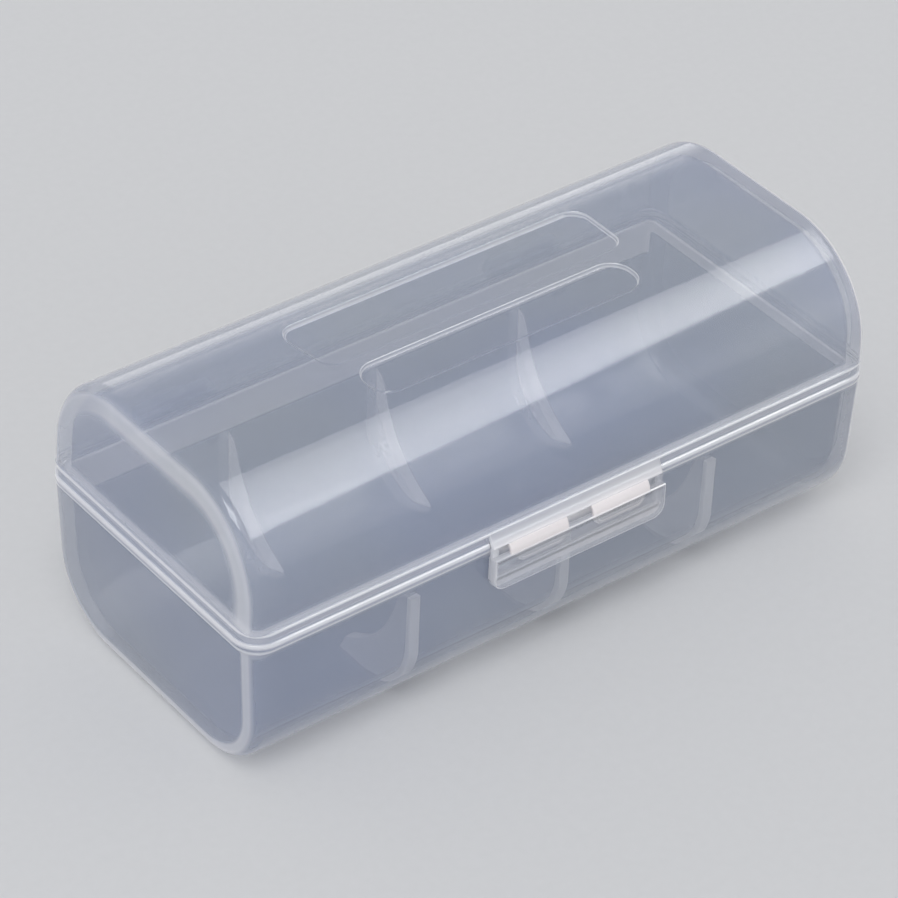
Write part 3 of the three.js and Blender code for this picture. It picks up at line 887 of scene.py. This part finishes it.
BEND_FROM = Vector((0, -17.86, 17.05)) * MM
BEND_TO = Vector((0, -18.12, 16.58)) * MM
dress(tub, tub_plastic, "base", "base_shell")
dress(lid, lid_plastic, "lid", "lid_shell")
dress(tab, latch_plastic, "latch", "latch_tab")
dress(boss, latch_plastic, "lid", "lid_shell")
for piece in [foot] + flanges:
    dress(piece, latch_plastic, "latch", "latch_tab")
for piece in lugs:
    dress(piece, latch_plastic, "lid", "lid_shell")
for piece in ribs:
    dress(piece, rib_plastic, "base", "base_shell")
for piece in bumps:
    dress(piece, latch_plastic, "base", "base_shell")
for piece in ears:
    dress(piece, hinge_plastic, "base", "base_shell")
for piece in knuckles:
    dress(piece, hinge_plastic, "lid", "lid_shell")
for piece, node in zip(pins, ("hinge_pin_left", "hinge_pin_right")):
    dress(piece, hinge_plastic, "base", node)
for piece, node in zip(straps, ("latch_strap_left", "latch_strap_right")):
    dress(piece, strap_plastic, None, node)
    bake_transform(piece, "lid", "latch", BEND_FROM, BEND_TO)

# %% [markdown]
# ## Camera
# The lens is long, so the case's parallel edges stay almost parallel. The camera looks from the
# front left, a little under forty degrees above the floor, and is rolled by two and a half degrees.
# Angles, distance and lens were fitted to the outline. The picture is built from see-through
# surfaces, so rays may pass many of them.

# %% Camera
DISTANCE = 404.223
LENS_PIXELS, PICTURE_PIXELS = 4071.5, 898  # focal length and picture width, both in pixels
SENSOR = 36
azimuth, elevation, roll = math.radians(-39.056), math.radians(37.521), math.radians(2.441)
target = Vector((-1.741, 0.412, 14.429)) * MM
flat = math.cos(elevation)
back = Vector((math.sin(azimuth) * flat, -math.cos(azimuth) * flat, math.sin(elevation)))
right = (-back).cross(Vector((0, 0, 1))).normalized()
above = right.cross(-back)
tilted_right = right * math.cos(roll) + above * math.sin(roll)
tilted_up = above * math.cos(roll) - right * math.sin(roll)
camera = bpy.data.objects.new("camera", bpy.data.cameras.new("camera"))
bpy.context.collection.objects.link(camera)
camera.data.sensor_width = SENSOR
camera.data.lens = LENS_PIXELS / PICTURE_PIXELS * SENSOR
camera.data.clip_start, camera.data.clip_end = 0.01, 20
pose = Matrix((tilted_right, tilted_up, back)).transposed().to_4x4()
camera.matrix_world = Matrix.Translation(target + back * DISTANCE * MM) @ pose
scene = bpy.context.scene
scene.camera = camera
scene.view_settings.view_transform = "Standard"
scene.cycles.transparent_max_bounces = 48
scene.cycles.max_bounces = 12
print("lens", round(camera.data.lens, 1), "mm")

# %% [markdown]
# ## Floor and light
# The case stands on a pale, matt floor that takes its soft shadow. A faint paper texture keeps the
# floor from looking like a flat colour.

# %% Floor
def ground():
    bm = bmesh.new()
    size, below = 3000.0, -0.02  # a hair under the case, so that no two faces share one plane
    corners = ((-1, -1), (1, -1), (1, 1), (-1, 1))
    bm.faces.new([bm.verts.new((x * size, y * size, below)) for x, y in corners])
    return to_object("floor", bm, smooth=60)


floor = ground()
pale = Paint("pale_floor")
spot = pale.node("ShaderNodeTexCoord", None, None, 3)
paper = pale.node("ShaderNodeTexNoise", None, {"Vector": spot, "Scale": 900.0, "Detail": 3.0})
tone = pale.blend(paper, rgb(0.63, 0.635, 0.645), rgb(0.66, 0.665, 0.675))
pale.finish(pale.node("ShaderNodeBsdfPrincipled", None, {"Base Color": tone, "Roughness": 0.8}))
floor.data.materials.append(pale.block)
print("floor ready")

# %% [markdown]
# ### Softboxes
# The front shoulder of the dome carries one broad, straight band of light, the mirror image of a
# long softbox, and the rear shoulder a narrow, weaker one. We find each softbox backwards: from the
# camera to points of the band, off the shoulder's surface there, and on through the air. A sheet
# through the ends of these rays gives just that band. The band's lower end is not quite parallel to
# the shoulder, so a short list says at which angle it ends.

# %% Softboxes
REACH = 46.0  # how far the sheets run along X, counted on the case


def lamp_point(x, angle, side, away=900.0):
    """Where the camera's ray ends that meets a shoulder at x and at an angle from the flat top. side
    is -1 for the front shoulder and 1 for the rear one."""
    tilt = math.radians(angle)
    radius = DOME_ROUND if side < 0 else DOME_REAR
    normal = Vector((0, side * math.sin(tilt), math.cos(tilt)))
    point = Vector((x, side * (WIDTH - radius), HEIGHT - radius)) + normal * radius
    ray = (point - camera.location / MM).normalized()
    return point + ray.reflect(normal) * away


# x on the case and angle in degrees
FRONT_START, FRONT_ENDS = 15.0, [(-REACH, 49.5), (-27, 46.0), (0, 42.0), (20, 38.2), (REACH, 36.0)]
REAR_START, REAR_ENDS = 3.0, [(-REACH, 20.5), (REACH, 20.5)]
FULL_FROM = 0.7  # share of the sheet's depth from which it is brightest
LEFT_LEVEL = 0.86  # its level at the left end


def band_end(x, ends):
    """Angle at which the band ends."""
    for (x0, a0), (x1, a1) in zip(ends, ends[1:]):
        if x <= x1:
            return a0 + (a1 - a0) * (x - x0) / (x1 - x0)


def softbox(name, side, start, ends, dim, strength, columns=12, steps=12):
    """A glowing sheet, dim where it starts and at its brightest from FULL_FROM on."""
    bm, layer = new_body()
    rows = []
    for m in range(columns + 1):
        x = -REACH + 2 * REACH * m / columns
        row = []
        for k in range(steps + 1):
            share = k / steps
            row.append(bm.verts.new(lamp_point(x, start + (band_end(x, ends) - start) * share, side)))
            bright = dim + (1.0 - dim) * min(1.0, share / FULL_FROM)
            row[-1][layer] = bright * (LEFT_LEVEL + (1.0 - LEFT_LEVEL) * m / columns)
        rows.append(row)
    for low, high in zip(rows, rows[1:]):
        for k in range(steps):
            bm.faces.new((low[k], low[k + 1], high[k + 1], high[k]))
    sheet = to_object(name, bm)
    paint = Paint(name)
    level = paint.node("ShaderNodeAttribute", {"attribute_name": "milk"}, None, 2)
    glow = paint.blend(level, rgb(0.0, 0.0, 0.0), rgb(1.0, 1.0, 1.0))
    paint.finish(paint.node("ShaderNodeEmission", None, {"Color": glow, "Strength": strength}))
    sheet.data.materials.append(paint.block)
    sheet.visible_camera = False
    sheet.visible_diffuse = False


softbox("softbox_front", -1, FRONT_START, FRONT_ENDS, dim=0.5, strength=7.0)
softbox("softbox_rear", 1, REAR_START, REAR_ENDS, dim=0.1, strength=3.0)
print("front softbox starts at", [round(v) for v in lamp_point(0, FRONT_START, -1)], "mm")

# %% [markdown]
# ### Key light and sky
# A large square lamp from the front left and above models the form, and the sky fills the rest. The
# sky is brighter near the horizon than above, so that the flat top stays darker than the round
# edges beside it.

# %% Key and sky
def fill(name, place, distance, size, radiance):
    """Square area lamp that shines at the case. place is the direction in which it stands."""
    direction = Vector(place).normalized()
    lamp = bpy.data.lights.new(name, "AREA")
    lamp.shape = "SQUARE"
    lamp.size = size
    lamp.energy = radiance * math.pi * size * size
    obj = bpy.data.objects.new(name, lamp)
    bpy.context.collection.objects.link(obj)
    turn = direction.to_track_quat("Z", "X").to_matrix().to_4x4()
    obj.matrix_world = Matrix.Translation(direction * distance) @ turn


fill("key", place=(-0.4, -0.35, 1.0), distance=2.6, size=1.2, radiance=7.5)
sky = Paint("soft_sky", bpy.data.worlds.new("soft_sky"), "ShaderNodeOutputWorld")
bpy.context.scene.world = sky.block
direction = sky.node("ShaderNodeTexCoord", None, None, 0)
height = sky.node("ShaderNodeSeparateXYZ", None, {0: direction}, 2)
shade = sky.blend(height.ramp(0.1, 0.7), rgb(1.0, 1.0, 1.0), rgb(0.3, 0.305, 0.32))
sky.finish(sky.node("ShaderNodeBackground", None, {"Color": shade, "Strength": 1.2}))
print("key and sky ready")
